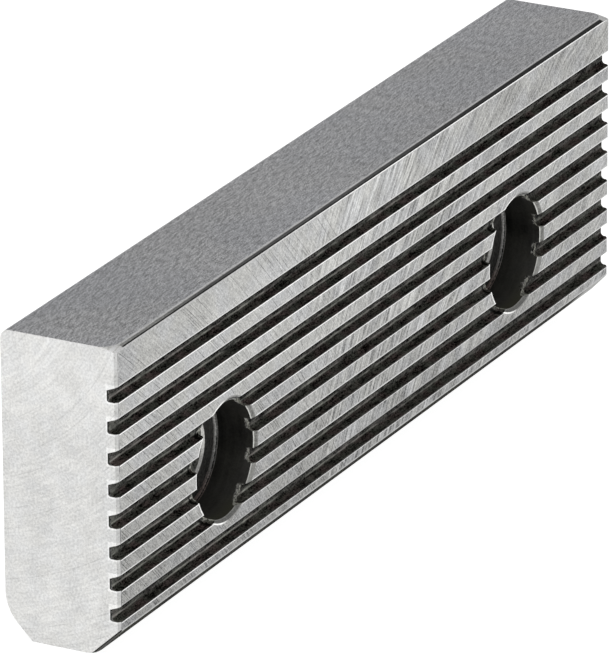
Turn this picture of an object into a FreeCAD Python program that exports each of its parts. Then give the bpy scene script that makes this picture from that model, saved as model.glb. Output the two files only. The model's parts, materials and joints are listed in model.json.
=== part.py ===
# Grooved jaw plate of a machine vise: one bar of hardened steel with eight lengthwise grooves
# in its gripping face and two stepped holes for the screws that hold it to the vise.
#
# X runs along the jaw, Y through its thickness and Z up. The jaw stands on its lower face with
# the gripping face towards -Y, and the origin is in the middle of the lower face.
# Lengths are in millimetres and angles in degrees.
import FreeCAD, Part
import math
import os
import Sketcher
from FreeCAD import Vector

SIZES = {
    # The bar, with a rounded upper back edge and a fine chamfer down each end of its front
    "jaw_length": 135.0,
    "jaw_height": 40.0,
    "jaw_thickness": 15.8,
    "top_back_radius": 1.2,
    "end_chamfer": 0.35,
    # The shallow bevel along the top of the gripping face, which turns round both corners
    "bevel_depth": 0.75,
    "bevel_drop": 0.25,
    "bevel_corner_radius": 2.6,
    "bevel_corner_inset": 2.4,
    # The toe under the gripping face, a slope that rounds off into the lower face
    "toe_height": 3.55,
    "toe_angle": 47.0,
    "toe_radius": 3.6,
    # The heel under the back, a slope that rounds off into the back
    "heel_depth": 3.7,
    "heel_angle": 45.0,
    "heel_radius": 5.6,
    # The grooves, from a broad land at the top down to a narrow one above the toe
    "top_land": 4.85,
    "lowest_land": 0.8,
    "groove_pitch": 4.05,
    "groove_width": 2.0,
    "groove_depth": 1.05,
    "groove_flank_angle": 20.0,
    "groove_root_radius": 0.5,
    # The two screw holes, counterbored from the gripping face
    "screw_spacing": 80.0,
    "screw_height": 15.9,
    "screw_hole_diameter": 9.0,
    "screw_hole_chamfer": 0.3,
    "counterbore_diameter": 15.0,
    "counterbore_depth": 5.7,
    "counterbore_floor_radius": 0.5,
    "counterbore_chamfer": 0.4,
}

# A sketch's own origin
ORIGIN = (-1, 1)


def size_sheet(doc):
    """The spreadsheet that drives the model, one named size to a row."""
    sheet = doc.addObject("Spreadsheet::Sheet", "sizes")
    for row, (name, value) in enumerate(SIZES.items(), start=1):
        sheet.set(f"A{row}", name)
        sheet.set(f"B{row}", str(value))
        sheet.setAlias(f"B{row}", name)
    doc.recompute()
    return sheet


def sketch_on(body, name, role):
    """A new sketch on one of the body's own origin planes."""
    sketch = body.newObject("Sketcher::SketchObject", name)
    plane = origin_plane(body, role)
    sketch.AttachmentSupport = [(plane, "")]
    sketch.MapMode = "FlatFace"
    return sketch


def origin_plane(body, role):
    return next(item for item in body.Origin.OriginFeatures if item.Role == role)


def add_line(sketch, start, end):
    return sketch.addGeometry(Part.LineSegment(Vector(*start), Vector(*end)), False)


def add_arc(sketch, centre, radius, start_angle, end_angle):
    """An arc that runs anticlockwise from one angle, in degrees, to another."""
    circle = Part.Circle(Vector(*centre), Vector(0, 0, 1), radius)
    arc = Part.ArcOfCircle(circle, math.radians(start_angle), math.radians(end_angle))
    return sketch.addGeometry(arc, False)


def start_of(line):
    return line, 1


def end_of(line):
    return line, 2


def join(sketch, *pairs):
    """Close each pair of line ends into one corner."""
    for first, second in pairs:
        sketch.addConstraint(Sketcher.Constraint("Coincident", *first, *second))


def blend(sketch, *pairs):
    """Let each arc run smoothly into the line it meets."""
    for arc_end, line_end in pairs:
        sketch.addConstraint(Sketcher.Constraint("Tangent", *arc_end, *line_end))


def level(sketch, *lines):
    for line in lines:
        sketch.addConstraint(Sketcher.Constraint("Horizontal", line))


def upright(sketch, *lines):
    for line in lines:
        sketch.addConstraint(Sketcher.Constraint("Vertical", line))


def put_on_level_axis(sketch, point):
    """Keep a point on the sketch's own horizontal axis."""
    sketch.addConstraint(Sketcher.Constraint("PointOnObject", *point, -1))


def set_across(sketch, left, right, size):
    """Hold the distance across from the left point to the right one."""
    value = sketch.getPoint(*right).x - sketch.getPoint(*left).x
    index = sketch.addConstraint(Sketcher.Constraint("DistanceX", *left, *right, value))
    sketch.setExpression(f"Constraints[{index}]", size)


def set_up(sketch, lower, upper, size):
    """Hold the distance up from the lower point to the upper one."""
    value = sketch.getPoint(*upper).y - sketch.getPoint(*lower).y
    index = sketch.addConstraint(Sketcher.Constraint("DistanceY", *lower, *upper, value))
    sketch.setExpression(f"Constraints[{index}]", size)


def set_radius(sketch, arc, size):
    value = sketch.Geometry[arc].Radius
    index = sketch.addConstraint(Sketcher.Constraint("Radius", arc, value))
    sketch.setExpression(f"Constraints[{index}]", size)


def set_angle(sketch, line, size):
    """Hold a line's direction, from its start to its end, to an angle in degrees."""
    run = sketch.getPoint(*end_of(line)) - sketch.getPoint(*start_of(line))
    index = sketch.addConstraint(Sketcher.Constraint("Angle", line, math.atan2(run.y, run.x)))
    sketch.setExpression(f"Constraints[{index}]", f"({size}) * 1 deg")


def draw_section(body):
    """The bar's cross-section, with its bevel, rounding, toe and heel."""
    height = SIZES["jaw_height"]
    back = SIZES["jaw_thickness"] / 2
    front = -back
    bevel_top = front + SIZES["bevel_depth"]
    bevel_foot = height - SIZES["bevel_drop"]
    top_radius = SIZES["top_back_radius"]

    toe_angle = math.radians(SIZES["toe_angle"])
    toe_radius = SIZES["toe_radius"]
    toe_top = SIZES["toe_height"]
    toe_blend = toe_radius * math.tan(toe_angle / 2)
    toe_arc_x = front + toe_top / math.tan(toe_angle) + toe_blend
    slope_end_x = toe_arc_x - toe_radius * math.sin(toe_angle)
    slope_end_z = toe_radius * (1 - math.cos(toe_angle))

    heel_angle = math.radians(SIZES["heel_angle"])
    heel_radius = SIZES["heel_radius"]
    heel_x = back - SIZES["heel_depth"]
    heel_blend = heel_radius * math.tan((math.pi / 2 - heel_angle) / 2)
    heel_arc_z = SIZES["heel_depth"] * math.tan(heel_angle) + heel_blend
    heel_top_x = back - heel_radius * (1 - math.sin(heel_angle))
    heel_top_z = heel_arc_z - heel_radius * math.cos(heel_angle)

    sketch = sketch_on(body, "bar_section", "YZ_Plane")
    front_line = add_line(sketch, (front, toe_top), (front, bevel_foot))
    bevel_line = add_line(sketch, (front, bevel_foot), (bevel_top, height))
    top_line = add_line(sketch, (bevel_top, height), (back - top_radius, height))
    top_arc = add_arc(sketch, (back - top_radius, height - top_radius), top_radius, 0, 90)
    back_line = add_line(sketch, (back, height - top_radius), (back, heel_arc_z))
    heel_arc = add_arc(
        sketch, (back - heel_radius, heel_arc_z), heel_radius, SIZES["heel_angle"] - 90, 0)
    heel_line = add_line(sketch, (heel_x, 0), (heel_top_x, heel_top_z))
    lower_line = add_line(sketch, (heel_x, 0), (toe_arc_x, 0))
    toe_arc = add_arc(
        sketch, (toe_arc_x, toe_radius), toe_radius, 270 - SIZES["toe_angle"], 270)
    toe_line = add_line(sketch, (slope_end_x, slope_end_z), (front, toe_top))

    join(
        sketch,
        (end_of(toe_line), start_of(front_line)),
        (end_of(front_line), start_of(bevel_line)),
        (end_of(bevel_line), start_of(top_line)),
        (start_of(heel_line), start_of(lower_line)),
    )
    blend(
        sketch,
        (end_of(top_arc), end_of(top_line)),
        (start_of(top_arc), start_of(back_line)),
        (end_of(heel_arc), end_of(back_line)),
        (start_of(heel_arc), end_of(heel_line)),
        (end_of(toe_arc), end_of(lower_line)),
        (start_of(toe_arc), start_of(toe_line)),
    )
    upright(sketch, front_line, back_line)
    level(sketch, top_line, lower_line)
    put_on_level_axis(sketch, start_of(lower_line))

    set_up(sketch, ORIGIN, start_of(top_line), "sizes.jaw_height")
    set_across(sketch, start_of(front_line), ORIGIN, "sizes.jaw_thickness / 2")
    set_across(sketch, ORIGIN, start_of(back_line), "sizes.jaw_thickness / 2")
    set_across(sketch, start_of(bevel_line), end_of(bevel_line), "sizes.bevel_depth")
    set_up(sketch, start_of(bevel_line), end_of(bevel_line), "sizes.bevel_drop")
    set_radius(sketch, top_arc, "sizes.top_back_radius")
    set_up(sketch, ORIGIN, end_of(toe_line), "sizes.toe_height")
    set_angle(sketch, toe_line, "180 - sizes.toe_angle")
    set_radius(sketch, toe_arc, "sizes.toe_radius")
    set_across(sketch, start_of(heel_line), end_of(back_line), "sizes.heel_depth")
    set_angle(sketch, heel_line, "sizes.heel_angle")
    set_radius(sketch, heel_arc, "sizes.heel_radius")
    return sketch


def pad_bar(body):
    """The plain bar, drawn out equally to both ends."""
    bar = body.newObject("PartDesign::Pad", "bar")
    bar.Profile = draw_section(body)
    bar.SideType = "Symmetric"
    bar.setExpression("Length", "sizes.jaw_length")
    return bar


def draw_end_chamfer(body):
    """A three-cornered cut across the upright front edge at the +X end, seen from above.

    Its long side makes the chamfer, and its square corner lies outside the bar.
    """
    chamfer = SIZES["end_chamfer"]
    end = SIZES["jaw_length"] / 2
    front = -SIZES["jaw_thickness"] / 2
    inner = (end - 2 * chamfer, front - chamfer)
    outer = (end + chamfer, front - chamfer)
    rear = (end + chamfer, front + 2 * chamfer)

    sketch = sketch_on(body, "end_chamfer_section", "XY_Plane")
    front_side = add_line(sketch, inner, outer)
    end_side = add_line(sketch, outer, rear)
    long_side = add_line(sketch, rear, inner)
    join(
        sketch,
        (end_of(front_side), start_of(end_side)),
        (end_of(end_side), start_of(long_side)),
        (end_of(long_side), start_of(front_side)),
    )
    level(sketch, front_side)
    upright(sketch, end_side)
    set_across(sketch, ORIGIN, start_of(end_side), "sizes.jaw_length / 2 + sizes.end_chamfer")
    set_up(sketch, start_of(end_side), ORIGIN, "sizes.jaw_thickness / 2 + sizes.end_chamfer")
    set_across(sketch, start_of(front_side), end_of(front_side), "3 * sizes.end_chamfer")
    set_up(sketch, start_of(end_side), end_of(end_side), "3 * sizes.end_chamfer")
    return sketch


def cut_end_chamfers(body):
    """The chamfer down both upright edges of the gripping face."""
    cut = body.newObject("PartDesign::Pocket", "end_chamfer_cut")
    cut.Profile = draw_end_chamfer(body)
    cut.Type = "ThroughAll"
    cut.SideType = "Symmetric"
    return mirror_to_far_end(body, cut, "end_chamfers")


def mirror_to_far_end(body, feature, name):
    """Repeat a cut in the other half of the jaw."""
    both = body.newObject("PartDesign::Mirrored", name)
    both.Originals = [feature]
    both.MirrorPlane = (origin_plane(body, "YZ_Plane"), [""])
    body.Tip = both
    return both


def draw_bevel_corner(body):
    """What lies outside the cone that carries the bevel round the corner at the +X end.

    The sketch's vertical axis is the cone's own axis, and the long side of the triangle is the
    bevel's slope, drawn out above the top face and past the corner.
    """
    depth = SIZES["bevel_depth"]
    drop = SIZES["bevel_drop"]
    radius = SIZES["bevel_corner_radius"]
    above = SIZES["jaw_height"] + drop
    inner = (depth - radius, above)
    outer = (-2 * radius, above)
    lower = (-2 * radius, SIZES["jaw_height"] - drop * radius / depth)

    sketch = sketch_on(body, "bevel_corner_section", "YZ_Plane")
    sketch.setExpression(
        "AttachmentOffset.Base.x",
        "sizes.bevel_depth + sizes.bevel_corner_radius - sizes.jaw_thickness / 2")
    sketch.setExpression(
        "AttachmentOffset.Base.z", "sizes.jaw_length / 2 - sizes.bevel_corner_inset")
    top_side = add_line(sketch, inner, outer)
    outer_side = add_line(sketch, outer, lower)
    slope = add_line(sketch, lower, inner)
    join(
        sketch,
        (end_of(top_side), start_of(outer_side)),
        (end_of(outer_side), start_of(slope)),
        (end_of(slope), start_of(top_side)),
    )
    level(sketch, top_side)
    upright(sketch, outer_side)
    set_up(sketch, ORIGIN, start_of(top_side), "sizes.jaw_height + sizes.bevel_drop")
    set_across(sketch, end_of(top_side), ORIGIN, "2 * sizes.bevel_corner_radius")
    set_across(
        sketch, start_of(top_side), ORIGIN, "sizes.bevel_corner_radius - sizes.bevel_depth")
    set_up(
        sketch, end_of(outer_side), start_of(outer_side),
        "sizes.bevel_drop * (1 + sizes.bevel_corner_radius / sizes.bevel_depth)")
    return sketch


def cut_bevel_corners(body):
    """The quarter cone at each end of the bevel, from the front face round to the end face."""
    section = draw_bevel_corner(body)
    corner = body.newObject("PartDesign::Groove", "bevel_corner")
    corner.Profile = section
    corner.ReferenceAxis = (section, ["V_Axis"])
    corner.Angle = 90
    return mirror_to_far_end(body, corner, "bevel_corners")


def draw_groove(body):
    """The top groove's section: a flank that slopes down and back, and a round lower corner.

    The section runs out in front of the face by the groove's own depth.
    """
    depth = SIZES["groove_depth"]
    front = -SIZES["jaw_thickness"] / 2
    mouth = front - depth
    root = front + depth
    slope = math.tan(math.radians(SIZES["groove_flank_angle"]))
    upper_edge = SIZES["jaw_height"] - SIZES["top_land"]
    lower_edge = upper_edge - SIZES["groove_width"]
    root_radius = SIZES["groove_root_radius"]

    sketch = sketch_on(body, "groove_section", "YZ_Plane")
    upper_flank = add_line(
        sketch, (mouth, upper_edge + depth * slope), (root, upper_edge - depth * slope))
    root_line = add_line(
        sketch, (root, upper_edge - depth * slope), (root, lower_edge + root_radius))
    root_arc = add_arc(
        sketch, (root - root_radius, lower_edge + root_radius), root_radius, 270, 360)
    lower_flank = add_line(sketch, (root - root_radius, lower_edge), (mouth, lower_edge))
    mouth_line = add_line(
        sketch, (mouth, lower_edge), (mouth, upper_edge + depth * slope))
    join(
        sketch,
        (end_of(upper_flank), start_of(root_line)),
        (end_of(lower_flank), start_of(mouth_line)),
        (end_of(mouth_line), start_of(upper_flank)),
    )
    blend(
        sketch,
        (end_of(root_arc), end_of(root_line)),
        (start_of(root_arc), start_of(lower_flank)),
    )
    upright(sketch, root_line, mouth_line)
    level(sketch, lower_flank)
    set_across(
        sketch, start_of(root_line), ORIGIN, "sizes.jaw_thickness / 2 - sizes.groove_depth")
    set_across(sketch, start_of(mouth_line), start_of(root_line), "2 * sizes.groove_depth")
    set_up(
        sketch, ORIGIN, start_of(lower_flank),
        "sizes.jaw_height - sizes.top_land - sizes.groove_width")
    set_angle(sketch, upper_flank, "-sizes.groove_flank_angle")
    set_up(
        sketch, start_of(lower_flank), start_of(root_line),
        "sizes.groove_width - sizes.groove_depth * tan(sizes.groove_flank_angle * 1 deg)")
    set_radius(sketch, root_arc, "sizes.groove_root_radius")
    return sketch


def cut_grooves(body):
    """As many grooves, one below the other, as leave the lowest land above the toe."""
    section = draw_groove(body)
    groove = body.newObject("PartDesign::Pocket", "top_groove")
    groove.Profile = section
    groove.Type = "ThroughAll"
    groove.SideType = "Symmetric"
    grooves = body.newObject("PartDesign::LinearPattern", "grooves")
    grooves.Originals = [groove]
    grooves.Direction = (section, ["V_Axis"])
    grooves.Reversed = True
    grooves.Mode = "Spacing"
    grooves.setExpression("Offset", "sizes.groove_pitch * 1 mm")
    grooves.setExpression(
        "Occurrences",
        "1 + floor((sizes.jaw_height - sizes.top_land - sizes.groove_width"
        " - sizes.lowest_land - sizes.toe_height) / sizes.groove_pitch)")
    body.Tip = grooves
    return grooves


def draw_screw_hole(body):
    """Half the lengthwise section of the hole at the +X end.

    The sketch's horizontal axis is the hole's own axis, and the section runs out of the bar at
    both faces, along the chamfers.
    """
    front = -SIZES["jaw_thickness"] / 2
    back = SIZES["jaw_thickness"] / 2
    bore_radius = SIZES["counterbore_diameter"] / 2
    hole_radius = SIZES["screw_hole_diameter"] / 2
    rim = SIZES["counterbore_chamfer"]
    edge = SIZES["screw_hole_chamfer"]
    floor_radius = SIZES["counterbore_floor_radius"]
    floor_x = front + SIZES["counterbore_depth"]

    sketch = sketch_on(body, "screw_hole_section", "YZ_Plane")
    sketch.setExpression("AttachmentOffset.Base.y", "sizes.screw_height")
    sketch.setExpression("AttachmentOffset.Base.z", "sizes.screw_spacing / 2")
    axis = add_line(sketch, (front - rim, 0), (back + edge, 0))
    back_side = add_line(sketch, (back + edge, 0), (back + edge, hole_radius + 2 * edge))
    back_chamfer = add_line(
        sketch, (back + edge, hole_radius + 2 * edge), (back - edge, hole_radius))
    hole_wall = add_line(sketch, (back - edge, hole_radius), (floor_x + edge, hole_radius))
    floor_chamfer = add_line(
        sketch, (floor_x + edge, hole_radius), (floor_x, hole_radius + edge))
    floor_line = add_line(
        sketch, (floor_x, hole_radius + edge), (floor_x, bore_radius - floor_radius))
    floor_arc = add_arc(
        sketch, (floor_x - floor_radius, bore_radius - floor_radius), floor_radius, 0, 90)
    bore_wall = add_line(
        sketch, (floor_x - floor_radius, bore_radius), (front + rim, bore_radius))
    rim_chamfer = add_line(
        sketch, (front + rim, bore_radius), (front - rim, bore_radius + 2 * rim))
    front_side = add_line(sketch, (front - rim, bore_radius + 2 * rim), (front - rim, 0))
    join(
        sketch,
        (end_of(axis), start_of(back_side)),
        (end_of(back_side), start_of(back_chamfer)),
        (end_of(back_chamfer), start_of(hole_wall)),
        (end_of(hole_wall), start_of(floor_chamfer)),
        (end_of(floor_chamfer), start_of(floor_line)),
        (end_of(bore_wall), start_of(rim_chamfer)),
        (end_of(rim_chamfer), start_of(front_side)),
        (end_of(front_side), start_of(axis)),
    )
    blend(
        sketch,
        (start_of(floor_arc), end_of(floor_line)),
        (end_of(floor_arc), start_of(bore_wall)),
    )
    level(sketch, axis, hole_wall, bore_wall)
    upright(sketch, back_side, floor_line, front_side)
    put_on_level_axis(sketch, start_of(axis))

    set_across(
        sketch, start_of(axis), ORIGIN, "sizes.jaw_thickness / 2 + sizes.counterbore_chamfer")
    set_across(
        sketch, ORIGIN, end_of(axis), "sizes.jaw_thickness / 2 + sizes.screw_hole_chamfer")
    set_across(sketch, start_of(hole_wall), end_of(back_side), "2 * sizes.screw_hole_chamfer")
    set_up(sketch, start_of(hole_wall), end_of(back_side), "2 * sizes.screw_hole_chamfer")
    set_up(sketch, ORIGIN, start_of(hole_wall), "sizes.screw_hole_diameter / 2")
    set_across(sketch, end_of(floor_chamfer), end_of(hole_wall), "sizes.screw_hole_chamfer")
    set_up(sketch, end_of(hole_wall), end_of(floor_chamfer), "sizes.screw_hole_chamfer")
    set_across(
        sketch, start_of(front_side), start_of(floor_line),
        "sizes.counterbore_depth + sizes.counterbore_chamfer")
    set_radius(sketch, floor_arc, "sizes.counterbore_floor_radius")
    set_up(sketch, ORIGIN, start_of(bore_wall), "sizes.counterbore_diameter / 2")
    set_across(sketch, end_of(rim_chamfer), start_of(rim_chamfer), "2 * sizes.counterbore_chamfer")
    set_up(sketch, start_of(rim_chamfer), end_of(rim_chamfer), "2 * sizes.counterbore_chamfer")
    return sketch


def cut_screw_holes(body):
    """A stepped hole turned about its own axis, and its pair at the other end."""
    section = draw_screw_hole(body)
    hole = body.newObject("PartDesign::Groove", "screw_hole")
    hole.Profile = section
    hole.ReferenceAxis = (section, ["H_Axis"])
    hole.Angle = 360
    return mirror_to_far_end(body, hole, "screw_holes")


def check_model(doc, bodies):
    """Stop if a feature has failed or a solid isn't sound."""
    for item in doc.Objects:
        if "Invalid" in item.State or "Error" in item.State:
            raise RuntimeError(f"{item.Label} failed to build")
    for body in bodies:
        if body.Shape.isNull() or not body.Shape.isValid():
            raise RuntimeError(f"{body.Label} is not a sound solid")


def check_cuts(body):
    """Stop if a cut has taken nothing off the solid before it."""
    features = [item for item in body.Group if item.isDerivedFrom("PartDesign::Feature")]
    for before, after in zip(features, features[1:]):
        if after.Shape.Volume > before.Shape.Volume - 0.01:
            raise RuntimeError(f"{after.Label} cuts nothing")


def build_jaw_plate(doc):
    body = doc.addObject("PartDesign::Body", "jaw_plate")
    body.Label = "jaw_plate"
    body.Placement = FreeCAD.Placement()
    pad_bar(body)
    cut_end_chamfers(body)
    cut_bevel_corners(body)
    cut_grooves(body)
    cut_screw_holes(body)
    return body


def main():
    doc = FreeCAD.newDocument("vise_jaw")
    size_sheet(doc)
    jaw_plate = build_jaw_plate(doc)
    doc.recompute()
    check_model(doc, [jaw_plate])
    check_cuts(jaw_plate)
    os.makedirs("parts", exist_ok=True)
    jaw_plate.Shape.exportStep(os.path.join("parts", jaw_plate.Label + ".step"))


main()
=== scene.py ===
import json
import math

import bpy
from mathutils import Matrix, Vector

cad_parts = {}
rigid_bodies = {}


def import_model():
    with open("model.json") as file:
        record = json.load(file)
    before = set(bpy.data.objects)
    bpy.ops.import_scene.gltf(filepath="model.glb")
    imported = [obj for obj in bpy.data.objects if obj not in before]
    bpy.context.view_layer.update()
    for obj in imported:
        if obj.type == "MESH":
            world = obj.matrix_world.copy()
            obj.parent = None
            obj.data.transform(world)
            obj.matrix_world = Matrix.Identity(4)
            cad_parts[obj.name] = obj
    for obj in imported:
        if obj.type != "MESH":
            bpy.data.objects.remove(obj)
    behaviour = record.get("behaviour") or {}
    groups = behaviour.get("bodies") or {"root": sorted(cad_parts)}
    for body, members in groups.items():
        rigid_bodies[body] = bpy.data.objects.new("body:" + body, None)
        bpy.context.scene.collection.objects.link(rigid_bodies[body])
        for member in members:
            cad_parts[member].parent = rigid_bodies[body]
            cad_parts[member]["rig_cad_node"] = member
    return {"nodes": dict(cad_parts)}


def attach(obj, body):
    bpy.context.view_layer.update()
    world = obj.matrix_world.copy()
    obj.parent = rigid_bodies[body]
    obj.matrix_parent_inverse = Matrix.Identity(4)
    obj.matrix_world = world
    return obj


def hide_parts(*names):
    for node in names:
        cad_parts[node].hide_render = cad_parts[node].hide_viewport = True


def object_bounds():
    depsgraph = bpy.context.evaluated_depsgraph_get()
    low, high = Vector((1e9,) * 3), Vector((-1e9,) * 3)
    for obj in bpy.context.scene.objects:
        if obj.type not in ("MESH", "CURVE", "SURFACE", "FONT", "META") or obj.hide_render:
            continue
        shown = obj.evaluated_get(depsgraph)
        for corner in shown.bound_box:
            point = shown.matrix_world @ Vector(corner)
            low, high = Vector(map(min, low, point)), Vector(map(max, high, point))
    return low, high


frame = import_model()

cad_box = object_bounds()

# The view.
# A long lens looks along the jaw from its near end and a little above it, so that the near
# end, the top and the whole grooved face show.
MM = 0.001
view_azimuth = math.radians(-62.2528)
view_elevation = math.radians(21.2957)
view_roll = math.radians(-0.3726)
view_distance = 1064.5 * MM
view_aim = Vector((4.648, 4.798, 15.659)) * MM

lens_body = bpy.data.cameras.new("long_lens")
lens_body.sensor_width = 36.0
lens_body.lens = 460.90
lens_body.clip_start = 0.05
lens_body.clip_end = 100.0
camera = bpy.data.objects.new("long_lens", lens_body)
bpy.context.scene.collection.objects.link(camera)
toward_camera = Vector((
    math.sin(view_azimuth) * math.cos(view_elevation),
    -math.cos(view_azimuth) * math.cos(view_elevation),
    math.sin(view_elevation),
))
standing_at = Matrix.Translation(view_aim + toward_camera * view_distance)
looking_along = toward_camera.to_track_quat("Z", "Y").to_matrix().to_4x4()
camera.matrix_world = standing_at @ looking_along @ Matrix.Rotation(view_roll, 4, "Z")
bpy.context.scene.camera = camera
bpy.context.scene.view_settings.view_transform = "Standard"


# The table and the lights.
# The jaw stands on a white table that is lit from below as well as from above, so that its
# shadow is faint. A wide soft lamp hangs over it in a grey room.
def put(tree, kind, plugged=None, **settings):
    """Adds a shader node, sets it up, and plugs values or other nodes' outputs into it."""
    made = tree.nodes.new(kind)
    for name, value in settings.items():
        setattr(made, name, value)
    for socket, value in (plugged or {}).items():
        if isinstance(value, bpy.types.NodeSocket):
            tree.links.new(value, made.inputs[socket])
        else:
            made.inputs[socket].default_value = value
    return made


def new_finish(name, metallic, roughness, specular=0.5):
    """Starts a finish, and returns its node tree and its Principled shader."""
    finish = bpy.data.materials.new(name)
    finish.use_nodes = True
    shader = finish.node_tree.nodes["Principled BSDF"]
    shader.inputs["Metallic"].default_value = metallic
    shader.inputs["Roughness"].default_value = roughness
    shader.inputs["Specular IOR Level"].default_value = specular
    return finish.node_tree, shader


bpy.ops.object.select_all(action="DESELECT")
bpy.ops.mesh.primitive_plane_add(size=6.0, location=(0, 0, 0))
table = bpy.context.object
table.name = "white_table"
tree, shader = new_finish("white_table", metallic=0.0, roughness=0.8, specular=0.0)
shader.inputs["Base Color"].default_value = (0.35, 0.35, 0.35, 1)
shader.inputs["Emission Color"].default_value = (1, 1, 1, 1)
shader.inputs["Emission Strength"].default_value = 0.96
table.data.materials.append(bpy.data.materials["white_table"])

lamp = bpy.data.lights.new("soft_lamp", "AREA")
lamp.shape = "SQUARE"
lamp.size = 2.4
lamp.energy = 22
hanging_lamp = bpy.data.objects.new("soft_lamp", lamp)
hanging_lamp.location = (-0.3, -0.3, 2.2)
bpy.context.scene.collection.objects.link(hanging_lamp)

room = bpy.data.worlds.new("grey_room")
bpy.context.scene.world = room
room.use_nodes = True
room.node_tree.nodes["Background"].inputs["Color"].default_value = (0.33, 0.33, 0.333, 1)


# The jaw.
# One bar of hardened steel, milled with eight grooves, drilled and counterbored for two
# screws. Its scale was ground off the lands, the top, the back and the foot, and stays black
# in the grooves, the holes and the bevel. Its sizes are in millimetres.
half_length, back, height = (size / MM for size in cad_box[1])
front = cad_box[0][1] / MM
hole_reach = 40.0
hole_height = 15.9
counterbore_radius = 7.5
counterbore_floor = -2.2
floor_fillet = 0.5
rim_chamfer = 0.4
groove_count = 8
groove_pitch = 4.05
groove_width = 2.0
top_groove_foot = 33.15
upper_flank_slope = math.tan(math.radians(20))
bevel_width = 0.75
bevel_foot = 39.75
bevel_end_drop = 0.5
end_chamfer_size = 0.35
top_back_radius = 1.2
toe_top = 3.55
toe_slope = 1 / math.tan(math.radians(47))
rubbed_width = 0.2
rubbed_drop = 0.02

# How near a face lies to a surface, and how nearly it looks along an axis.
near_enough = 0.03
squarely = 0.999
nearly = 0.98
slanting = 0.5
barely = 0.1

# The mesh is a copy of the solid with its loose triangles joined up into whole faces.
solid = frame["nodes"]["jaw_plate"]
bpy.ops.object.select_all(action="DESELECT")
solid.select_set(True)
bpy.context.view_layer.objects.active = solid
bpy.ops.object.duplicate()
jaw = bpy.context.object
jaw.name = "jaw"
bpy.ops.object.parent_clear(type="CLEAR_KEEP_TRANSFORM")
del jaw["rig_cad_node"]
bpy.ops.mesh.customdata_custom_splitnormals_clear()
bpy.ops.object.mode_set(mode="EDIT")
bpy.ops.mesh.select_mode(type="FACE")
bpy.ops.mesh.select_all(action="SELECT")
bpy.ops.mesh.remove_doubles(threshold=0.001 * MM)
bpy.ops.mesh.dissolve_limited(angle_limit=math.radians(0.5))
bpy.ops.mesh.select_all(action="DESELECT")
bpy.ops.object.mode_set(mode="OBJECT")


def bore_zone(facing, y):
    """Names the finish of a face inside a screw hole from its direction and its depth."""
    if y < front + rim_chamfer:
        return "bare_rim" if facing.y < -slanting else "bore_wall"
    if facing.y < -squarely and abs(y - counterbore_floor) < near_enough:
        return "bore_floor"
    if -nearly < facing.y < -barely and y > counterbore_floor - floor_fillet - near_enough:
        return "floor_edge"
    return "drilled_wall" if y > counterbore_floor else "bore_wall"


def zone_of(face):
    """Names the finish of a face from its place and its direction."""
    x, y, z = face.center / MM
    facing = face.normal
    from_end = half_length - abs(x)
    off_axis = math.hypot(abs(x) - hole_reach, z - hole_height)
    if facing.y < -squarely and y < front + near_enough:
        return "ground_land"
    if abs(facing.x) > squarely and from_end < near_enough:
        return "milled_end"
    if off_axis < counterbore_radius + rim_chamfer and y > front + near_enough:
        is_flank = abs(facing.z) >= nearly and abs(facing.y) <= barely
        if off_axis < counterbore_radius + near_enough or not is_flank:
            return bore_zone(facing, y)
    if facing.z > squarely and z > height - near_enough:
        return "ground_top"
    in_back_radius = y > back - top_back_radius - near_enough and z > height - top_back_radius
    if facing.z > barely / 2 and in_back_radius:
        return "ground_top"
    if facing.z > barely and z > bevel_foot - bevel_end_drop:
        return "cut_bevel"
    if abs(facing.x) > slanting and from_end < end_chamfer_size and y < front + end_chamfer_size:
        return "end_chamfer"
    if facing.y > squarely and y > back - near_enough:
        return "ground_back"
    if facing.z < -squarely and z < near_enough:
        return "ground_back"
    return "black_toe" if z < toe_top else "black_scale"


zones = [
    "ground_land", "rubbed_edge", "ground_top", "cut_bevel", "milled_end", "end_chamfer",
    "ground_back", "black_scale", "black_toe", "bare_rim", "floor_edge", "bore_wall",
    "bore_floor", "drilled_wall",
]
lands = zones.index("ground_land")
rims = zones.index("rubbed_edge")
for face in jaw.data.polygons:
    face.material_index = zones.index(zone_of(face))

# The rims of the lands are very slightly rounded by handling, and carry a painted highlight.
for face in jaw.data.polygons:
    face.select = face.material_index == lands
bpy.ops.object.mode_set(mode="EDIT")
bpy.ops.mesh.inset(thickness=rubbed_width * MM, depth=0, use_boundary=True, use_even_offset=True)
bpy.ops.mesh.select_all(action="INVERT")
bpy.ops.object.mode_set(mode="OBJECT")
for face in jaw.data.polygons:
    if face.select and face.material_index == lands:
        face.material_index = rims


def corners_of(zone):
    """The numbers of the corners that the faces of a zone have."""
    faces = [face for face in jaw.data.polygons if face.material_index == zone]
    return {corner for face in faces for corner in face.vertices}


for corner in corners_of(rims) - corners_of(lands):
    jaw.data.vertices[corner].co.y += rubbed_drop * MM
bpy.ops.object.shade_smooth_by_angle(angle=math.radians(25))


# What the finishes have in common: places on the jaw in millimetres, and the marks of tools.
# x runs from -67.5 at the near end, on the left, to 67.5 at the far end, on the right. y runs
# from -7.9 on the lands to 7.9 on the back, and z from 0 at the foot to 40 at the top.
def calc(tree, operation, first, second=0.0, third=0.0):
    plugged = {0: first, 1: second, 2: third}
    return put(tree, "ShaderNodeMath", plugged, operation=operation).outputs[0]


def plus(tree, first, second):
    return calc(tree, "ADD", first, second)


def minus(tree, first, second):
    return calc(tree, "SUBTRACT", first, second)


def times(tree, first, second):
    return calc(tree, "MULTIPLY", first, second)


def times_plus(tree, value, factor, added):
    """value x factor + added."""
    return calc(tree, "MULTIPLY_ADD", value, factor, added)


def both(tree, first, second):
    """The place where two masks meet: 1 only where both are 1."""
    return times(tree, first, second)


def either(tree, first, second):
    """The places of two masks: 1 wherever one of them is 1."""
    return calc(tree, "MAXIMUM", first, second)


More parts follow.
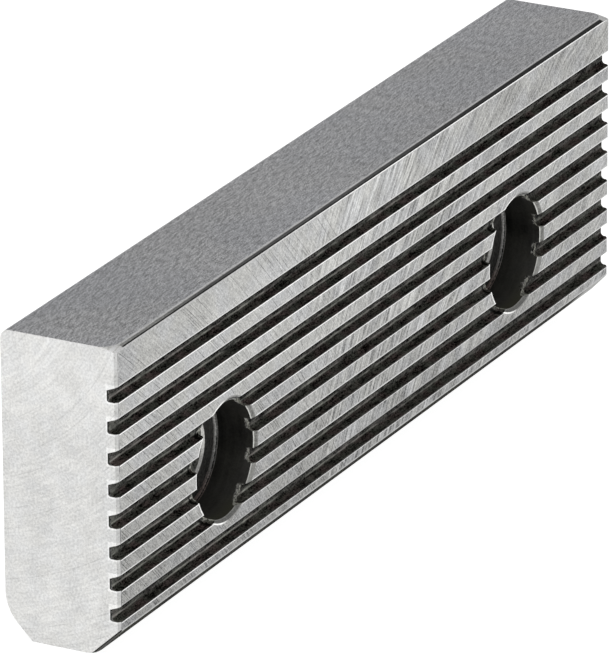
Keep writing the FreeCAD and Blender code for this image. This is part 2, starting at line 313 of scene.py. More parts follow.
def ease(tree, value, low, high):
    """Runs smoothly from 0 at low to 1 at high."""
    plugged = {"Value": value, "From Min": low, "From Max": high}
    made = put(tree, "ShaderNodeMapRange", plugged, interpolation_type="SMOOTHSTEP", clamp=True)
    return made.outputs[0]


def between(tree, value, low, high, soft):
    """1 between low and high, and 0 outside them, with edges of the softness soft."""
    rising = ease(tree, value, low - soft, low + soft)
    falling = ease(tree, value, high + soft, high - soft)
    return both(tree, rising, falling)


def blend(tree, share, low, high):
    """Blends two colours by share."""
    plugged = {0: share, 6: low, 7: high}
    made = put(tree, "ShaderNodeMix", plugged, data_type="RGBA", clamp_factor=True)
    return made.outputs[2]


def joined(tree, x, y, z=0.0):
    """A place made of its three parts."""
    return put(tree, "ShaderNodeCombineXYZ", {0: x, 1: y, 2: z}).outputs[0]


def reach_of(tree, place):
    """How far a place is from nought."""
    return put(tree, "ShaderNodeVectorMath", {0: place}, operation="LENGTH").outputs[1]


def shrunk(tree, place, size):
    """The place counted in steps of size."""
    steps_per_mm = calc(tree, "DIVIDE", 1.0, size)
    made = put(tree, "ShaderNodeVectorMath", {0: place, 3: steps_per_mm}, operation="SCALE")
    return made.outputs[0]


def noise(tree, place, detail, roughness):
    plugged = {"Vector": place, "Scale": 1.0, "Detail": detail, "Roughness": roughness}
    return put(tree, "ShaderNodeTexNoise", plugged).outputs[0]


def place_in_mm(tree):
    """The place on the jaw in millimetres, and its three parts."""
    where = put(tree, "ShaderNodeTexCoord").outputs["Object"]
    millimetres = shrunk(tree, where, MM)
    parts = put(tree, "ShaderNodeSeparateXYZ", {0: millimetres}).outputs
    return millimetres, parts[0], parts[1], parts[2]


def inward_of_end(tree, x):
    """How far a place is from the nearer end."""
    return minus(tree, half_length, calc(tree, "ABSOLUTE", x))


def outward_of_hole(tree, x):
    """How far a place is from the axis of the nearer screw hole, toward the jaw's end."""
    return minus(tree, calc(tree, "ABSOLUTE", x), hole_reach)


def right_of_hole(tree, x):
    """How far a place is to the right of the nearer screw hole's axis."""
    return times(tree, outward_of_hole(tree, x), calc(tree, "SIGN", x))


def weighed(tree, base, *pairs):
    """Brightens or darkens base by each (value, share, middle): 1 + share x (value - middle)."""
    total = 1.0
    for value, share, middle in pairs:
        total = times_plus(tree, minus(tree, value, middle), share, total)
    return put(tree, "ShaderNodeVectorMath", {0: base, 3: total}, operation="SCALE").outputs[0]


def coloured(tree, shader, colour):
    """Gives the surface its colour."""
    tree.links.new(colour, shader.inputs["Base Color"])


def raised(tree, shader, marks, depth):
    """Lets marks stand out from the surface by up to depth, in millimetres."""
    bump = put(tree, "ShaderNodeBump", {"Height": marks, "Distance": depth * MM, "Strength": 1.0})
    tree.links.new(bump.outputs[0], shader.inputs["Normal"])


def new_effect(name, takes, gives):
    """Starts an effect that several finishes share, as a node group."""
    tree = bpy.data.node_groups.new(name, "ShaderNodeTree")
    for socket, kind in takes.items():
        tree.interface.new_socket(socket, in_out="INPUT", socket_type="NodeSocket" + kind)
    for socket, kind in gives.items():
        tree.interface.new_socket(socket, in_out="OUTPUT", socket_type="NodeSocket" + kind)
    return tree, put(tree, "NodeGroupInput").outputs, put(tree, "NodeGroupOutput").inputs


def use(tree, effect, **plugged):
    """Places an effect, with its inputs given by name."""
    spelled = {name.replace("_", " "): value for name, value in plugged.items()}
    return put(tree, "ShaderNodeGroup", spelled, node_tree=effect).outputs


# Marks of a tool: fine lines that run along the second part of Place.
tool_marks, given, result = new_effect(
    "tool_marks",
    {"Place": "Vector", "Lines per mm": "Float", "Length": "Float", "Layer": "Float"},
    {"Marks": "Float"},
)
parts = put(tool_marks, "ShaderNodeSeparateXYZ", {0: given["Place"]}).outputs
across = times(tool_marks, parts[0], given["Lines per mm"])
along = calc(tool_marks, "DIVIDE", parts[1], given["Length"])
lines = noise(tool_marks, joined(tool_marks, across, along, given["Layer"]), 3.0, 0.62)
tool_marks.links.new(ease(tool_marks, lines, 0.25, 0.75), result["Marks"])


def marks_on(tree, place, per_mm, length, layer):
    """How light the marks of a tool are at a place, from 0 to 1."""
    outputs = use(tree, tool_marks, Place=place, Lines_per_mm=per_mm, Length=length, Layer=layer)
    return outputs["Marks"]


# Scratches: single thin lines along the second part of Place, some near each other and some
# far apart, each with a beginning and an end.
scratches, given, result = new_effect(
    "scratches",
    {"Place": "Vector", "Apart": "Float", "Width": "Float", "Length": "Float", "Share": "Float"},
    {"Scratches": "Float"},
)
parts = put(scratches, "ShaderNodeSeparateXYZ", {0: given["Place"]}).outputs
across = calc(scratches, "DIVIDE", parts[0], given["Apart"])
along = calc(scratches, "DIVIDE", parts[1], given["Length"])
cells = put(
    scratches, "ShaderNodeTexVoronoi", {"W": across, "Scale": 1.0}, voronoi_dimensions="1D",
).outputs
reach = calc(scratches, "DIVIDE", given["Width"], given["Apart"])
line = ease(scratches, cells["Distance"], reach, times(scratches, reach, 0.4))
chance = put(scratches, "ShaderNodeSeparateColor", {0: cells["Color"]}).outputs
kept = calc(scratches, "LESS_THAN", chance[0], given["Share"])
span = joined(scratches, times(scratches, chance[1], 50.0), along)
present = ease(scratches, noise(scratches, span, 1.0, 0.5), 0.42, 0.5)
scratches.links.new(both(scratches, both(scratches, line, kept), present), result["Scratches"])


def cuts_on(tree, place, apart, width, length, share):
    """1 on a scratch and 0 beside it."""
    return use(
        tree, scratches, Place=place, Apart=apart, Width=width, Length=length, Share=share,
    )["Scratches"]


# Fine grain: an even speckle of one size, with ragged edges.
fine_grain, given, result = new_effect(
    "fine_grain", {"Place": "Vector", "Size": "Float"}, {"Grain": "Float"},
)
grains = noise(fine_grain, shrunk(fine_grain, given["Place"], given["Size"]), 2.0, 0.7)
fine_grain.links.new(ease(fine_grain, grains, 0.28, 0.72), result["Grain"])


def grain_on(tree, place, size):
    """How light the grain is at a place, from 0 to 1."""
    return use(tree, fine_grain, Place=place, Size=size)["Grain"]


# Pits and specks: small round places, as far apart as Spacing.
specks, given, result = new_effect(
    "specks", {"Place": "Vector", "Spacing": "Float", "Size": "Float", "Share": "Float"},
    {"Specks": "Float"},
)
steps = shrunk(specks, given["Place"], given["Spacing"])
cells = put(specks, "ShaderNodeTexVoronoi", {"Vector": steps, "Scale": 1.0}).outputs
reach = calc(specks, "DIVIDE", given["Size"], given["Spacing"])
spot = ease(specks, cells["Distance"], reach, times(specks, reach, 0.4))
chance = put(specks, "ShaderNodeSeparateColor", {0: cells["Color"]}).outputs[0]
kept = calc(specks, "LESS_THAN", chance, given["Share"])
specks.links.new(both(specks, spot, kept), result["Specks"])


def specks_on(tree, place, spacing, size, share):
    """1 on a speck and 0 beside it."""
    return use(tree, specks, Place=place, Spacing=spacing, Size=size, Share=share)["Specks"]


# Patches of tone: broad soft places that lean to one of two colours, lighter or darker.
tone, given, result = new_effect(
    "tone", {"Place": "Vector", "Size": "Float", "One": "Color", "Other": "Color"},
    {"Tint": "Color", "Light": "Float"},
)
steps = shrunk(tone, given["Place"], given["Size"])
clouds = noise(tone, steps, 1.5, 0.5)
moved = put(tone, "ShaderNodeVectorMath", {0: steps, 1: (7.3, 2.1, 5.9)}, operation="ADD")
shade = noise(tone, moved.outputs[0], 2.5, 0.5)
leaning = blend(tone, ease(tone, clouds, 0.42, 0.62), given["One"], given["Other"])
tone.links.new(leaning, result["Tint"])
tone.links.new(ease(tone, shade, 0.3, 0.7), result["Light"])


def patches_on(tree, place, one, other, size):
    """The tint of the patches, and how light they are."""
    outputs = use(tree, tone, Place=place, Size=size, One=one, Other=other)
    return outputs["Tint"], outputs["Light"]


# How high a place lies in the pattern of grooves: 0 at a groove's lower edge, 2 at its upper
# edge, 4.05 at the next groove's lower edge.
groove_rise, given, result = new_effect("groove_rise", {"Up": "Float"}, {"Rise": "Float"})
pattern_foot = top_groove_foot - (groove_count + 1) * groove_pitch
above_foot = minus(groove_rise, given["Up"], pattern_foot)
groove_rise.links.new(calc(groove_rise, "MODULO", above_foot, groove_pitch), result["Rise"])

# How far a place is from the axis of the nearer screw hole.
from_axis, given, result = new_effect(
    "from_axis", {"Sideways": "Float", "Up": "Float"}, {"Distance": "Float"},
)
outward = outward_of_hole(from_axis, given["Sideways"])
offset = joined(from_axis, outward, minus(from_axis, given["Up"], hole_height))
from_axis.links.new(reach_of(from_axis, offset), result["Distance"])


# The lands were ground with the rim of a cup wheel, whose marks cross: one set leans to the
# left and shows most at the left, the other leans to the right and shows from the middle on,
# where its marks sway. The lands are darker toward the foot and at the far end of the top land.
def arcs(tree, x, z, middle, height_of_middle, spread):
    """How far across and how far along a set of marks a place is, in millimetres."""
    narrowing = times_plus(tree, z, -spread / height_of_middle, spread)
    return joined(tree, times(tree, minus(tree, x, middle), narrowing), times(tree, z, 1.5))


def dulled(tree, in_height, in_length, share):
    """Share, where a place lies both in that height and in that length of the jaw."""
    return times(tree, both(tree, in_height, in_length), share)


def land_darkening(tree, x, z):
    """How much darker the lands are there, as a share of their brightness."""
    low = times(tree, ease(tree, z, 36.0, 4.0), 0.33)
    low = times_plus(tree, ease(tree, z, 6.0, 4.5), 0.07, low)
    far_top = dulled(tree, ease(tree, z, 21.0, 37.0), ease(tree, x, -4.0, 26.0), 0.22)
    upper_grooves = both(tree, ease(tree, z, 17.0, 23.0), ease(tree, z, 36.0, 33.0))
    middle = dulled(tree, upper_grooves, between(tree, x, -6.0, 22.0, 8.0), 0.11)
    far_upper = dulled(tree, ease(tree, z, 12.0, 22.0), ease(tree, x, 10.0, 45.0), 0.05)
    near_side = times(tree, ease(tree, x, -45.0, -60.0), 0.035)
    near_top = dulled(tree, ease(tree, z, 30.0, 37.0), ease(tree, x, -30.0, -66.0), 0.09)
    far = plus(tree, plus(tree, far_top, middle), far_upper)
    return plus(tree, low, plus(tree, far, plus(tree, near_top, near_side)))


warm_land = (0.475, 0.474, 0.458, 1)
cool_land = (0.467, 0.47, 0.47, 1)
tree, shader = new_finish("ground_land", metallic=1.0, roughness=0.42)
place, x, y, z = place_in_mm(tree)
swaying = noise(tree, shrunk(tree, place, 9.0), detail=1.0, roughness=0.5)
sway = times(tree, minus(tree, swaying, 0.5), 5.0)
bent_x = plus(tree, x, times(tree, sway, ease(tree, x, 5.0, 50.0)))
to_left = arcs(tree, x, z, middle=100.0, height_of_middle=166.0, spread=1.3)
to_right = arcs(tree, bent_x, z, middle=-65.0, height_of_middle=118.0, spread=1.45)
at_left = ease(tree, x, 12.0, -28.0)
at_right = ease(tree, x, -38.0, -4.0)
in_middle = between(tree, x, -14.0, 24.0, 12.0)
crossing = times_plus(tree, ease(tree, x, 14.0, 34.0), 0.55, at_left)
fine_left = marks_on(tree, to_left, per_mm=2.6, length=4.0, layer=1.0)
fine_right = marks_on(tree, to_right, per_mm=2.6, length=4.0, layer=14.0)
broad_right = marks_on(tree, to_right, per_mm=1.1, length=9.0, layer=5.0)
grain = grain_on(tree, place, size=0.17)
tint, light = patches_on(tree, place, warm_land, cool_land, size=5.0)
marks_left = times(tree, minus(tree, fine_left, 0.5), crossing)
marks_right = times(tree, minus(tree, fine_right, 0.5), at_right)
strength_of_streaks = times_plus(tree, in_middle, 0.4, times(tree, at_right, 0.43))
streaks = times(tree, minus(tree, broad_right, 0.5), strength_of_streaks)
dark_cuts = cuts_on(tree, to_left, apart=0.5, width=0.075, length=9.0, share=0.32)
dark_cuts = both(tree, dark_cuts, at_left)
light_cuts = cuts_on(tree, to_right, apart=0.6, width=0.09, length=4.0, share=0.3)
light_cuts = both(tree, light_cuts, at_right)
light_crossing = cuts_on(tree, to_left, apart=0.55, width=0.09, length=4.0, share=0.3)
light_crossing = both(tree, light_crossing, ease(tree, x, 6.0, 22.0))
colour = weighed(
    tree, tint, (marks_left, 0.38, 0.0), (marks_right, 0.5, 0.0), (grain, 0.6, 0.5),
    (light, 0.12, 0.5), (streaks, 1.0, 0.0), (dark_cuts, -0.55, 0.0), (light_cuts, 0.24, 0.0),
    (light_crossing, 0.24, 0.0), (land_darkening(tree, x, z), -1.0, 0.0),
)
coloured(tree, shader, colour)
cut_in = minus(tree, plus(tree, marks_left, marks_right), dark_cuts)
raised(tree, shader, cut_in, depth=0.002)

# The lands' rims carry painted highlights along the jaw, white and strongest on the upper side
# of a land, and are nicked in short dark dashes at the ends. Black scale creeps over the edges
# of the grooves, and the rim round a counterbore is darker at its right and has a painted
# highlight at its left.
white_line = 0.13
grey_line = 0.12
soft_edge = 0.02
white_highlight = (0.97, 0.97, 0.96, 1)
grey_highlight = (0.7, 0.7, 0.69, 1)
rim_steel = (0.47, 0.47, 0.465, 1)
creeping_scale = (0.03, 0.03, 0.028, 1)
darker_ring_side = (0.22, 0.22, 0.21, 1)
ring_highlight = (0.95, 0.95, 0.93, 1)
nicked_steel = (0.4, 0.4, 0.395)
tree, shader = new_finish("rubbed_edge", metallic=1.0, roughness=0.35)
place, x, y, z = place_in_mm(tree)
rise = use(tree, groove_rise, Up=z)["Rise"]
grain = grain_on(tree, place, size=0.3)
nicks = marks_on(tree, joined(tree, z, x), per_mm=1.6, length=9.0, layer=2.0)
near_side = ease(tree, x, -30.0, -50.0)
low_right = both(tree, ease(tree, z, 30.0, 12.0), times_plus(tree, near_side, -0.7, 1.0))
scale_edge = minus(tree, groove_pitch, times_plus(tree, low_right, 0.07, 0.06))
# Painted highlights: a white line along each land's upper side and along the top, and a grey one
# along its lower side.
white_from = minus(tree, scale_edge, white_line + soft_edge)
white_to = minus(tree, scale_edge, white_line - soft_edge)
along_top = both(tree, ease(tree, z, 39.61, 39.65), ease(tree, x, -45.0, 5.0))
white = either(tree, ease(tree, rise, white_from, white_to), along_top)
grey_from = groove_width + grey_line + soft_edge
grey_to = groove_width + grey_line - soft_edge
grey = both(tree, ease(tree, rise, grey_from, grey_to), ease(tree, rise, 1.9, 1.95))
under_groove = ease(tree, rise, minus(tree, scale_edge, soft_edge), scale_edge)
under_groove = both(tree, under_groove, ease(tree, z, 34.0, 33.5))
over_lowest = both(tree, ease(tree, rise, 2.12, 2.08), ease(tree, z, 7.5, 7.0))
crept = both(tree, either(tree, under_groove, over_lowest), ease(tree, z, 4.3, 4.6))
along_jaw = blend(tree, grey, rim_steel, grey_highlight)
along_jaw = blend(tree, white, along_jaw, white_highlight)
along_jaw = blend(tree, crept, along_jaw, creeping_scale)
# The ring round a counterbore is painted darker at its right and has a painted highlight at its left.
ring = blend(tree, ease(tree, right_of_hole(tree, x), 0.5, -1.5), darker_ring_side, ring_highlight)
reach = use(tree, from_axis, Sideways=x, Up=z)["Distance"]
ring_reach = counterbore_radius + rim_chamfer + rubbed_width
in_ring = ease(tree, reach, ring_reach + 0.05, ring_reach - 0.05)
along_jaw = blend(tree, in_ring, along_jaw, ring)
dashes = ease(tree, nicks, 0.45, 0.6)
across_jaw = weighed(tree, nicked_steel, (dashes, -0.5, 0.0), (ease(tree, z, 32.0, 12.0), -0.35, 0.0))
at_end = ease(tree, inward_of_end(tree, x), 0.52, 0.46)
at_end = both(tree, at_end, minus(tree, 1.0, crept))
colour = weighed(
    tree, blend(tree, at_end, along_jaw, across_jaw), (grain, 0.3, 0.5),
    (land_darkening(tree, x, z), -0.25, 0.0),
)
coloured(tree, shader, colour)

# The top is ground along its length with a fine wheel, and has gone matt. It has a painted
# highlight along the edge where it meets the bevel.
bluish_top = (0.66, 0.66, 0.667, 1)
bluer_top = (0.645, 0.65, 0.668, 1)
tree, shader = new_finish("ground_top", metallic=1.0, roughness=0.45)
place, x, y, z = place_in_mm(tree)
lengthwise = joined(tree, times_plus(tree, x, -0.1, y), x)
marks = marks_on(tree, lengthwise, per_mm=3.0, length=1.6, layer=2.0)
grain = grain_on(tree, place, size=0.2)
tint, light = patches_on(tree, place, bluish_top, bluer_top, size=14.0)
far_side = ease(tree, x, 20.0, 60.0)
near_side = ease(tree, x, -10.0, -50.0)
# A painted highlight runs along the top's edge by the bevel.
highlight_by_bevel = ease(tree, y, -6.98, -7.1)
colour = weighed(
    tree, tint, (marks, 0.7, 0.5), (grain, 1.0, 0.5), (light, 0.06, 0.5), (far_side, 0.04, 0.0),
    (near_side, -0.03, 0.0), (highlight_by_bevel, 0.35, 0.0),
)
coloured(tree, shader, colour)
raised(tree, shader, plus(tree, marks, grain), depth=0.002)

# The bevel along the top's front edge is scaled black, and blackest at the far end. Its upper
# edge has a painted highlight and its lower edge is a black line. Toward the near end it is bare,
# and it has a painted highlight where it rounds off at both ends.
black_bevel = (0.028, 0.028, 0.027, 1)
greyer_bevel = (0.15, 0.15, 0.147, 1)
bare_bevel = (0.42, 0.42, 0.4, 1)
black_line = (0.02, 0.02, 0.019, 1)
corner_highlight = (1.0, 1.0, 0.98, 1)
rounded_end_highlight = (1.0, 1.0, 0.97, 1)
tree, shader = new_finish("cut_bevel", metallic=0.9, roughness=0.4)
place, x, y, z = place_in_mm(tree)
marks = marks_on(tree, joined(tree, y, x), per_mm=4.0, length=3.0, layer=3.0)
grain = grain_on(tree, place, size=0.3)
down = calc(tree, "DIVIDE", minus(tree, front + bevel_width, y), bevel_width)
# Painted highlights along the bevel's upper edge and where it rounds off at both ends.
highlight_to = times_plus(tree, ease(tree, x, 0.0, -40.0), 0.12, 0.26)
bared = both(tree, ease(tree, x, -42.0, -60.0), ease(tree, grain, -0.4, 0.5))
rounded_off = ease(tree, inward_of_end(tree, x), 1.95, 1.65)
colour = blend(tree, ease(tree, x, 40.0, -10.0), black_bevel, greyer_bevel)
colour = blend(tree, bared, colour, bare_bevel)
colour = blend(tree, ease(tree, down, highlight_to, 0.16), colour, corner_highlight)
colour = blend(tree, ease(tree, down, 0.68, 0.76), colour, black_line)
colour = blend(tree, rounded_off, colour, rounded_end_highlight)
coloured(tree, shader, weighed(tree, colour, (marks, 0.5, 0.5), (grain, 0.4, 0.5)))
raised(tree, shader, grain, depth=0.002)


# The ends are milled, and their colour is painted lighter than the lands' to stand in for the
# light falling on them. The cutter's strokes are arcs that rise toward the front, and the edges
# round the grooves are lighter in a thin band. On the near end the face is painted dark a little
# way round the grooves and along the toe. The chamfer down the front is duller.
stroke_middle_y = 16.7
stroke_middle_z = 49.7
halo_width = 0.22
halo_depth = 1.54
halo_softness = 0.06
dark_border_depth = 1.36
dark_border_line = 0.04
toe_band = 0.27
toe_line = 0.1
dark_border_black = (0.012, 0.012, 0.011, 1)
dark_border_grey = (0.16, 0.16, 0.157, 1)
toe_grey = (0.09, 0.09, 0.086, 1)
toe_black = (0.015, 0.015, 0.014, 1)


def milled_end_finish(name, warm, cool, speck_share, speck_depth):
    """The light finish of the ends, with that share of the possible specks, darker by that."""
    tree, shader = new_finish(name, metallic=1.0, roughness=0.5)
    place, x, y, z = place_in_mm(tree)
    from_middle = joined(tree, minus(tree, y, stroke_middle_y), minus(tree, z, stroke_middle_z))
    rising = joined(tree, reach_of(tree, from_middle), y)
    marks = marks_on(tree, rising, per_mm=2.8, length=3.4, layer=4.0)
    grain = grain_on(tree, place, size=0.3)
    strokes = cuts_on(tree, rising, apart=1.3, width=0.09, length=3.0, share=0.35)
    dots = specks_on(tree, place, spacing=0.55, size=0.1, share=speck_share)
    tint, light = patches_on(tree, place, warm, cool, size=2.6)

    rise = use(tree, groove_rise, Up=z)["Rise"]
    widest = halo_width + halo_softness
    narrowest = halo_width - halo_softness
    above_groove = ease(tree, rise, groove_width + widest, groove_width + narrowest)
    below_groove = ease(tree, rise, groove_pitch - widest, groove_pitch - narrowest)
    by_groove = either(tree, above_groove, below_groove)
    halo_back = front + halo_depth
    in_front = ease(tree, y, halo_back + halo_softness, halo_back - halo_softness)
    grooved = both(tree, ease(tree, z, 35.6, 35.3), ease(tree, z, 4.3, 4.6))
    halo = both(tree, both(tree, by_groove, in_front), grooved)
    lower_half = ease(tree, z, 34.0, 24.0)
    colour = weighed(
        tree, tint, (marks, 0.15, 0.5), (grain, 0.25, 0.5), (light, 0.09, 0.5),
        (strokes, -0.1, 0.0), (dots, -speck_depth, 0.0), (halo, 0.2, 0.0), (lower_half, -0.07, 0.0),
    )

    # On the near end the face is painted dark a little way round the grooves' ends and along the toe.
    near_end = ease(tree, x, 0.0, -1.0)
    in_depth = minus(tree, y, front)
    below_flank = times_plus(tree, in_depth, upper_flank_slope, rise)
    above_corner = times_plus(tree, in_depth, -0.9, rise)
    dark_border = ease(tree, in_depth, dark_border_depth + dark_border_line, dark_border_depth - dark_border_line)
    dark_border = both(tree, dark_border, grooved)
    dark_border = both(tree, dark_border, ease(tree, below_flank, 2.02, 1.94))
    dark_border = both(tree, dark_border, ease(tree, above_corner, -1.08, -1.0))
    dark_border = both(tree, dark_border, near_end)
    inside = ease(tree, in_depth, dark_border_depth - 3 * dark_border_line, dark_border_depth - 5 * dark_border_line)
    inside = both(tree, inside, ease(tree, below_flank, 1.9, 1.8))
    greyer = both(tree, inside, ease(tree, grain, 0.1, 0.9))
    colour = blend(tree, dark_border, colour, blend(tree, greyer, dark_border_black, dark_border_grey))

    from_toe = times_plus(tree, in_depth, toe_slope, minus(tree, z, toe_top))
    toe_dark_border = ease(tree, from_toe, toe_band + soft_edge, toe_band - soft_edge)
    toe_dark_border = both(tree, toe_dark_border, near_end)
    past_line = ease(tree, from_toe, toe_line - soft_edge, toe_line + soft_edge)
    colour = blend(tree, toe_dark_border, colour, toe_grey)
    coloured(tree, shader, blend(tree, both(tree, toe_dark_border, past_line), colour, toe_black))
    raised(tree, shader, marks, depth=0.002)


# The ends' colour is painted lighter than the lands' to stand in for the light falling on them.
lit_warm_end = (0.76, 0.758, 0.742, 1)
lit_cool_end = (0.75, 0.752, 0.745, 1)
warm_chamfer = (0.6, 0.6, 0.587, 1)
cool_chamfer = (0.58, 0.58, 0.575, 1)
milled_end_finish("milled_end", lit_warm_end, lit_cool_end, speck_share=0.07, speck_depth=0.3)
milled_end_finish("end_chamfer", warm_chamfer, cool_chamfer, speck_share=0.8, speck_depth=0.6)

# The back and the foot are ground straight along the jaw.
warm_back = (0.56, 0.56, 0.55, 1)
cool_back = (0.55, 0.555, 0.56, 1)
tree, shader = new_finish("ground_back", metallic=1.0, roughness=0.4)
place, x, y, z = place_in_mm(tree)
lengthwise = joined(tree, plus(tree, z, y), x)
fine = marks_on(tree, lengthwise, per_mm=3.0, length=14.0, layer=6.0)
broad = marks_on(tree, lengthwise, per_mm=0.5, length=60.0, layer=7.0)
grain = grain_on(tree, place, size=0.25)
cuts = cuts_on(tree, lengthwise, apart=2.2, width=0.08, length=22.0, share=0.4)
tint, light = patches_on(tree, place, warm_back, cool_back, size=14.0)
colour = weighed(
    tree, tint, (fine, 0.25, 0.5), (broad, 0.14, 0.5), (grain, 0.2, 0.5), (light, 0.12, 0.5),
    (cuts, -0.25, 0.0),
)
coloured(tree, shader, colour)
raised(tree, shader, minus(tree, fine, cuts), depth=0.002)

# The scale in the grooves and on the heel: black, faintly glossy, streaked along the jaw, with
# brown and olive places and painted glints. A groove's root has a painted highlight along it,
# painted shade darkens its lower corner and the top of the root under the land above, a painted
# shadow lies round the mouth into a counterbore, and the mouth itself is worn light.
olive_root = (0.074, 0.075, 0.067, 1)
brown_root = (0.075, 0.071, 0.066, 1)
shaded_olive_corner = (0.06, 0.061, 0.052, 1)
shaded_brown_corner = (0.07, 0.056, 0.052, 1)
worn_mouth = (0.2, 0.2, 0.175)
shadow_black = (0.006, 0.006, 0.005, 1)
tree, shader = new_finish("black_scale", metallic=0.0, roughness=0.4, specular=0.0)
place, x, y, z = place_in_mm(tree)
girth = joined(tree, times_plus(tree, y, 0.7, z), x)
streaks = marks_on(tree, girth, per_mm=2.6, length=2.5, layer=8.0)
ridge_highlight_seen = marks_on(tree, girth, per_mm=0.25, length=14.0, layer=12.0)
grain = grain_on(tree, place, size=0.25)
# Painted glints: small bright specks.
glints = specks_on(tree, place, spacing=0.6, size=0.12, share=0.25)
root_tint, root_light = patches_on(tree, place, olive_root, brown_root, size=5.0)
corner_tint, corner_light = patches_on(tree, girth, shaded_olive_corner, shaded_brown_corner, size=4.0)
rise = use(tree, groove_rise, Up=z)["Rise"]
on_root = both(tree, ease(tree, rise, 0.28, 0.46), ease(tree, y, -7.3, -7.0))
# Painted shade at the top of the root, under the land above, deeper toward the far end.
shade_under_edge = ease(tree, rise, 0.9, 1.0)
shade_under_far_edge = both(tree, shade_under_edge, ease(tree, x, 0.0, 40.0))
by_near_end = ease(tree, x, -65.0, -67.4)
# A painted highlight along the middle of each groove's root.
ridge_highlight = both(tree, between(tree, rise, 0.44, 0.66, 0.08), ease(tree, ridge_highlight_seen, 0.2, 0.5))
ridge_highlight = both(tree, ridge_highlight, times_plus(tree, ease(tree, x, 40.0, -20.0), 0.7, 0.3))
ridge_highlight = both(tree, ridge_highlight, times_plus(tree, streaks, 1.0, 0.4))
root = weighed(
    tree, root_tint, (streaks, 1.8, 0.5), (grain, 2.0, 0.5), (root_light, 0.4, 0.5),
    (glints, 1.6, 0.0), (ridge_highlight, 3.8, 0.0), (shade_under_edge, -0.7, 0.0), (shade_under_far_edge, -0.2, 0.0),
    (by_near_end, 1.2, 0.0),
)
# The lower corner is painted darker, as painted shade.
shaded_corner = weighed(
    tree, corner_tint, (grain, 2.0, 0.5), (streaks, 1.7, 0.5), (corner_light, 0.6, 0.5),
)
leftward = ease(tree, right_of_hole(tree, x), 1.0, -1.0)
reach = use(tree, from_axis, Sideways=x, Up=z)["Distance"]
ragged = noise(tree, shrunk(tree, place, 0.7), detail=2.0, roughness=0.6)
torn = times_plus(tree, ragged, 1.0, reach)
# A painted shadow round the mouth into a counterbore, most at the left.
mouth_shadow = both(tree, ease(tree, torn, 8.45, 8.6), ease(tree, reach, 8.7, 8.3))
mouth_shadow = both(tree, mouth_shadow, times_plus(tree, leftward, 0.6, 0.4))
mouth = ease(tree, times_plus(tree, leftward, 0.3, torn), 8.45, 8.3)
worn = weighed(tree, worn_mouth, (grain, 2.0, 0.5), (leftward, 1.0, 0.0))
colour = blend(tree, on_root, shaded_corner, root)
colour = blend(tree, mouth_shadow, colour, shadow_black)
coloured(tree, shader, blend(tree, mouth, colour, worn))
glossy = both(tree, on_root, times_plus(tree, grain, 0.6, 0.2))
tree.links.new(glossy, shader.inputs["Metallic"])
tree.links.new(times_plus(tree, grain, 0.3, 0.3), shader.inputs["Roughness"])
raised(tree, shader, plus(tree, grain, streaks), depth=0.012)

# The toe is scaled dull black. It is thinner and greyer at the top of both its ends, and light
# at its far end.
olive_toe = (0.045, 0.045, 0.039, 1)
black_toe = (0.041, 0.04, 0.038, 1)
thin_toe = (0.16, 0.165, 0.145, 1)
light_toe = (0.4, 0.4, 0.39, 1)
tree, shader = new_finish("black_toe", metallic=0.0, roughness=0.8, specular=0.0)
place, x, y, z = place_in_mm(tree)
grain = grain_on(tree, place, size=0.3)
thin = both(tree, ease(tree, inward_of_end(tree, x), 2.2, 0.4), ease(tree, z, 2.2, 3.3))
tint, light = patches_on(tree, place, olive_toe, black_toe, size=4.0)
colour = weighed(tree, tint, (grain, 0.8, 0.5), (light, 0.4, 0.5))
colour = blend(tree, thin, colour, thin_toe)
coloured(tree, shader, blend(tree, ease(tree, x, 58.0, 63.0), colour, light_toe))
raised(tree, shader, grain, depth=0.006)

# The counterbore's wall is scaled smooth and black, with an olive cast at its top and bottom.
# Painted light makes it lighter near the rim and toward its bottom, and painted shade darkens it
# deeper in. Where a groove cuts it, its lip is ragged and worn grey.
olive_wall = (0.017, 0.0167, 0.0145, 1)
brown_wall = (0.016, 0.0157, 0.0145, 1)
olive_cast = (0.05, 0.05, 0.036, 1)
worn_lip = (0.36, 0.356, 0.33)
tree, shader = new_finish("bore_wall", metallic=0.0, roughness=0.35, specular=0.3)
place, x, y, z = place_in_mm(tree)
grain = grain_on(tree, place, size=0.3)
turned = marks_on(tree, joined(tree, y, plus(tree, x, z)), per_mm=1.4, length=9.0, layer=9.0)
tint, light = patches_on(tree, place, olive_wall, brown_wall, size=3.0)
# Painted light near the rim and toward the bottom, painted shade deeper in.
rim_light = ease(tree, y, -5.0, -7.5)
deep_shade = ease(tree, y, -4.5, -3.0)
low = ease(tree, z, hole_height + 1.0, hole_height - 4.0)
polar = ease(tree, calc(tree, "ABSOLUTE", minus(tree, z, hole_height)), 5.6, 7.3)
olive = both(tree, polar, ease(tree, y, -5.2, -7.2))
rise = use(tree, groove_rise, Up=z)["Rise"]
ragged = noise(tree, shrunk(tree, place, 0.6), detail=2.0, roughness=0.6)
torn = times_plus(tree, ragged, 1.4, y)
lip = both(tree, ease(tree, torn, -5.75, -5.95), between(tree, rise, 0.35, 1.75, 0.15))
lip = both(tree, lip, ease(tree, z, hole_height - 6.9, hole_height - 6.4))
worn = weighed(tree, worn_lip, (grain, 2.6, 0.5), (ease(tree, x, -10.0, 10.0), -0.4, 0.0))
colour = weighed(
    tree, tint, (grain, 0.8, 0.5), (light, 0.6, 0.5), (turned, 0.9, 0.5), (low, 1.3, 0.0),
    (rim_light, 0.6, 0.0), (deep_shade, -0.35, 0.0),
)
colour = blend(tree, olive, colour, olive_cast)
coloured(tree, shader, blend(tree, lip, colour, worn))
raised(tree, shader, grain, depth=0.004)

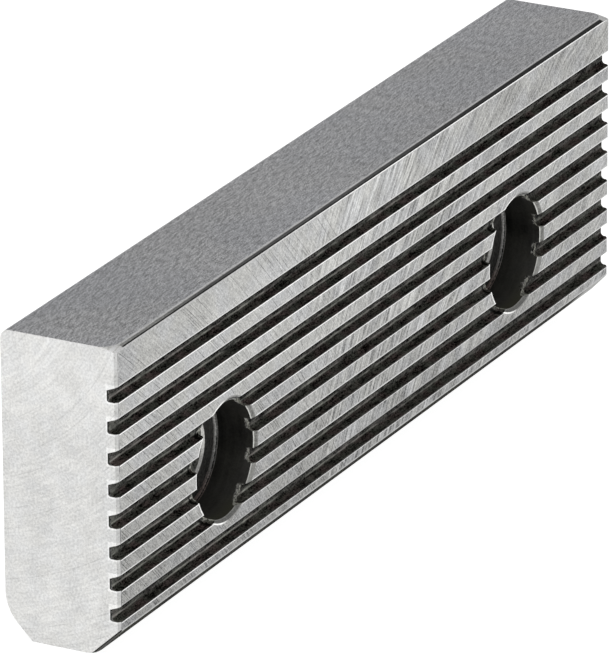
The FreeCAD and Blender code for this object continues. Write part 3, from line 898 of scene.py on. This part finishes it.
# Its floor keeps the drill's turning marks under a rough dark scale.
floor_scale = (0.05, 0.049, 0.046)
tree, shader = new_finish("bore_floor", metallic=0.2, roughness=0.45, specular=0.3)
place, x, y, z = place_in_mm(tree)
reach = use(tree, from_axis, Sideways=x, Up=z)["Distance"]
turned = marks_on(tree, joined(tree, reach, plus(tree, x, z)), per_mm=4.0, length=4.0, layer=11.0)
grain = grain_on(tree, place, size=0.3)
coloured(tree, shader, weighed(tree, floor_scale, (turned, 0.8, 0.5), (grain, 1.4, 0.5)))
raised(tree, shader, plus(tree, grain, turned), depth=0.008)

# The through hole is drilled, and its wall is thinly scaled, grey and a little green.
thin_scale = (0.23, 0.232, 0.215)
tree, shader = new_finish("drilled_wall", metallic=0.0, roughness=0.45, specular=0.4)
place, x, y, z = place_in_mm(tree)
turned = marks_on(tree, joined(tree, y, plus(tree, x, z)), per_mm=3.0, length=4.0, layer=13.0)
grain = grain_on(tree, place, size=0.3)
coloured(tree, shader, weighed(tree, thin_scale, (turned, 0.6, 0.5), (grain, 1.4, 0.5)))
raised(tree, shader, plus(tree, grain, turned), depth=0.008)

# The rim's chamfer is dull bare metal, with a painted highlight along its inner edge. Painted
# light makes it lighter at the bottom, it is lighter low at the right too, and painted shade makes
# it darker at the top.
bare_chamfer = (0.18, 0.18, 0.171)
tree, shader = new_finish("bare_rim", metallic=0.85, roughness=0.4)
place, x, y, z = place_in_mm(tree)
grain = grain_on(tree, place, size=0.3)
# Painted light at the bottom, painted shade at the top, and a painted highlight along the inner edge.
shaded_top = ease(tree, z, 20.0, 23.0)
lit_bottom = ease(tree, z, 12.5, 9.5)
inner_highlight = both(tree, ease(tree, y, -7.62, -7.56), times_plus(tree, lit_bottom, -0.7, 1.0))
lighter_patch = between(tree, z, 10.7, 13.0, 0.2)
lighter_patch = both(tree, lighter_patch, ease(tree, right_of_hole(tree, x), 0.0, 2.0))
colour = weighed(
    tree, bare_chamfer, (grain, 0.9, 0.5), (inner_highlight, 2.3, 0.0), (lit_bottom, 0.6, 0.0),
    (lighter_patch, 1.6, 0.0), (shaded_top, -0.5, 0.0),
)
coloured(tree, shader, colour)
raised(tree, shader, grain, depth=0.004)

# The fillet round the floor is painted light, a painted highlight, with a dark line along it
# from the middle of the hole down and a painted highlight line at its outer side, and the through
# hole's edge has a brighter painted highlight. Both go brown toward the foot.
highlit_fillet = (0.25, 0.247, 0.236, 1)
brown_fillet = (0.17, 0.135, 0.122, 1)
tree, shader = new_finish("floor_edge", metallic=0.7, roughness=0.4)
place, x, y, z = place_in_mm(tree)
grain = grain_on(tree, place, size=0.25)
# A painted highlight on the fillet and on the through hole's edge.
rusty = ease(tree, z, 12.5, 9.5)
dark_line = both(tree, between(tree, y, -2.53, -2.39, 0.03), ease(tree, z, 19.0, 14.0))
outer_highlight = ease(tree, y, -2.53, -2.58)
hole_edge_highlight = ease(tree, y, -2.25, -2.15)
colour = weighed(
    tree, blend(tree, rusty, highlit_fillet, brown_fillet), (grain, 1.0, 0.5),
    (dark_line, -0.85, 0.0), (outer_highlight, 0.7, 0.0), (hole_edge_highlight, 1.6, 0.0),
)
coloured(tree, shader, colour)
raised(tree, shader, grain, depth=0.004)

jaw.data.materials[0] = bpy.data.materials[zones[0]]
for zone in zones[1:]:
    jaw.data.materials.append(bpy.data.materials[zone])

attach(jaw, "root")
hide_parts("jaw_plate")
